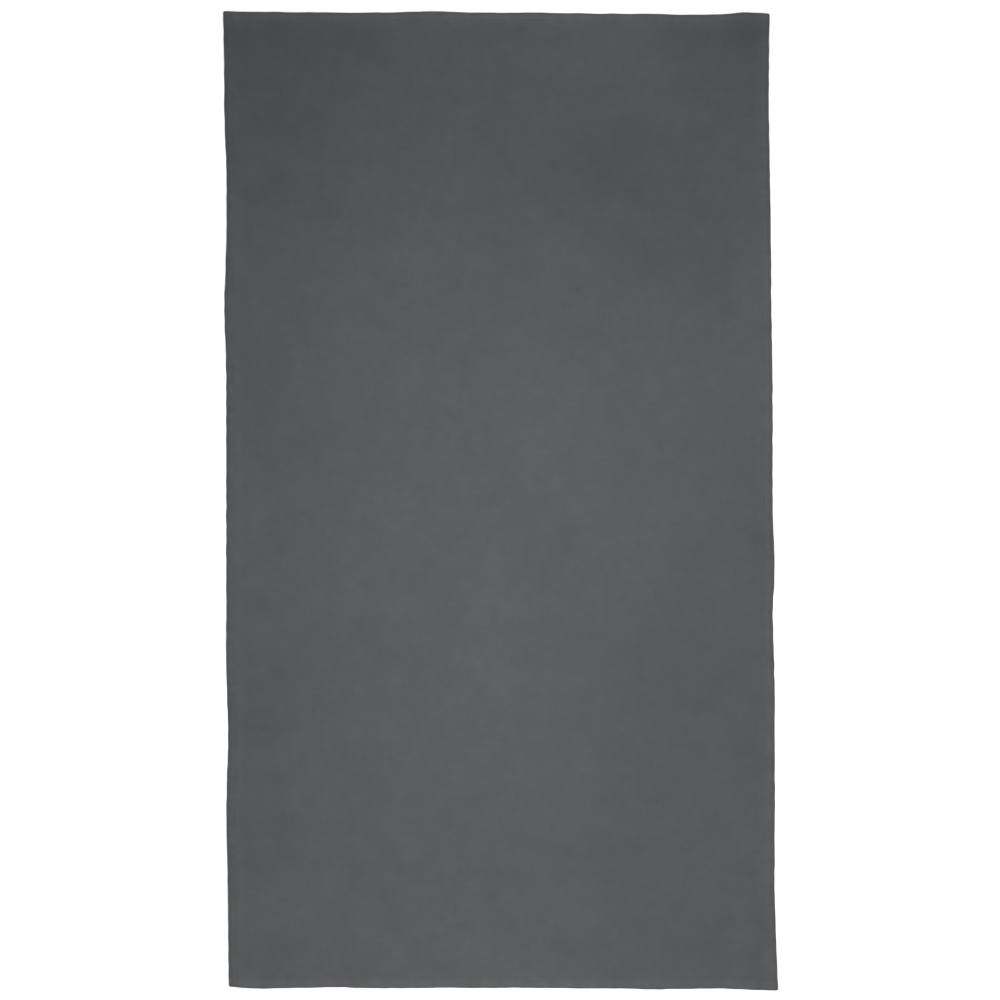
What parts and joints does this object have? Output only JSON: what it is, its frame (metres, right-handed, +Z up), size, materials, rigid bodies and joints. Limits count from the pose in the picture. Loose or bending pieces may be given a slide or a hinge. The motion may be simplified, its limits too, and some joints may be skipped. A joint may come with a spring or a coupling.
{
  "type": "quick dry towel",
  "caption": "Large flat rectangular towel of thin charcoal microfibre cloth, with narrow turned hems held by lockstitch along every edge.",
  "frame": {"origin": "the middle of the laid towel's box, on the surface that it lies on", "axes": "+Y along the towel's length, towards its top end; +X across its width, towards its right edge; +Z up, out of its right side"},
  "size_m": [1.018, 1.7972, 0.0065],
  "materials": {
    "microfibre_face": "brushed microfibre, matte",
    "microfibre_hem": "brushed microfibre, matte, pressed flat",
    "needle_thread": "spun polyester thread, slight lustre",
    "bobbin_thread": "spun polyester thread, slight lustre"
  },
  "bodies": {
    "root": {"towel_panel": "microfibre_face", "hem_left": "microfibre_hem", "hem_right": "microfibre_hem", "hem_bottom_end": "microfibre_hem", "hem_top_end": "microfibre_hem", "needle_thread_left": "needle_thread", "needle_thread_right": "needle_thread", "needle_thread_bottom_end": "needle_thread", "needle_thread_top_end": "needle_thread", "bobbin_thread_left": "bobbin_thread", "bobbin_thread_right": "bobbin_thread", "bobbin_thread_bottom_end": "bobbin_thread", "bobbin_thread_top_end": "bobbin_thread"}
  },
  "joints": []
}
